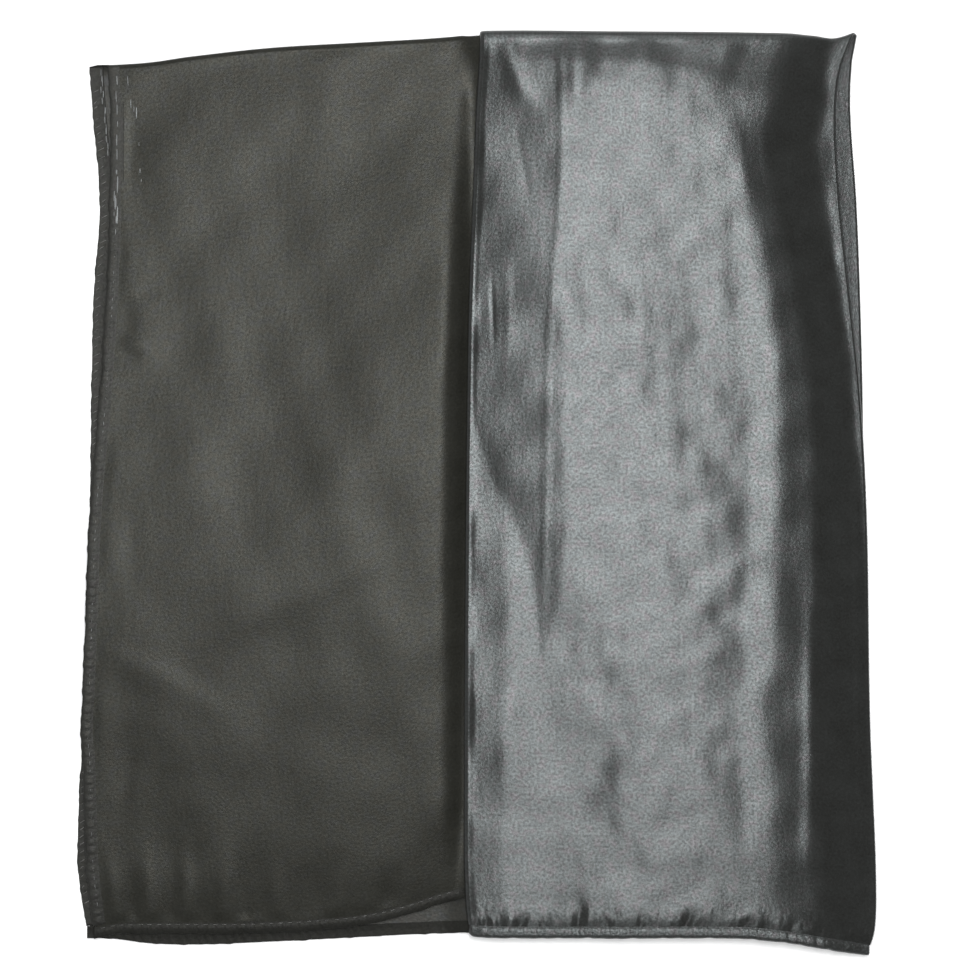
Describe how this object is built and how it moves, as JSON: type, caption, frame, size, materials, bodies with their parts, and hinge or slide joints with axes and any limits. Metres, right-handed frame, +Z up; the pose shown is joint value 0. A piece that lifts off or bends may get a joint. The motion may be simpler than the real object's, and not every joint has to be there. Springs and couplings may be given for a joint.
{
  "type": "folded satin square scarf",
  "caption": "Plain satin square scarf, pleated upright and folded in half, lying flat with its glossy flap over a dull single stretch.",
  "frame": {"origin": "centre of the folded scarf's outline, on the surface that it lies on", "axes": "+X across the folded scarf, from the single stretch to the flap; +Y up the scarf, from its hems to its top fold; +Z up, away from the surface"},
  "size_m": [0.265, 0.3066, 0.0095],
  "materials": {
    "glossy_face": "glossy satin face, pewter grey, with a fine sparkle",
    "dull_reverse": "dull reverse of the satin, dark warm grey",
    "hem": "turned satin hem with small drawn-in puckers and grey lockstitching",
    "hidden_cloth": "edges of the folded plies inside the bundle"
  },
  "bodies": {
    "root": {"left_stretch": "dull_reverse", "flap": "glossy_face", "hidden_layers": "hidden_cloth", "side_hem": "hem", "left_bottom_hem_front": "hem", "left_bottom_hem_back": "hem", "flap_bottom_hem_front": "hem", "flap_bottom_hem_back": "hem"}
  },
  "joints": []
}
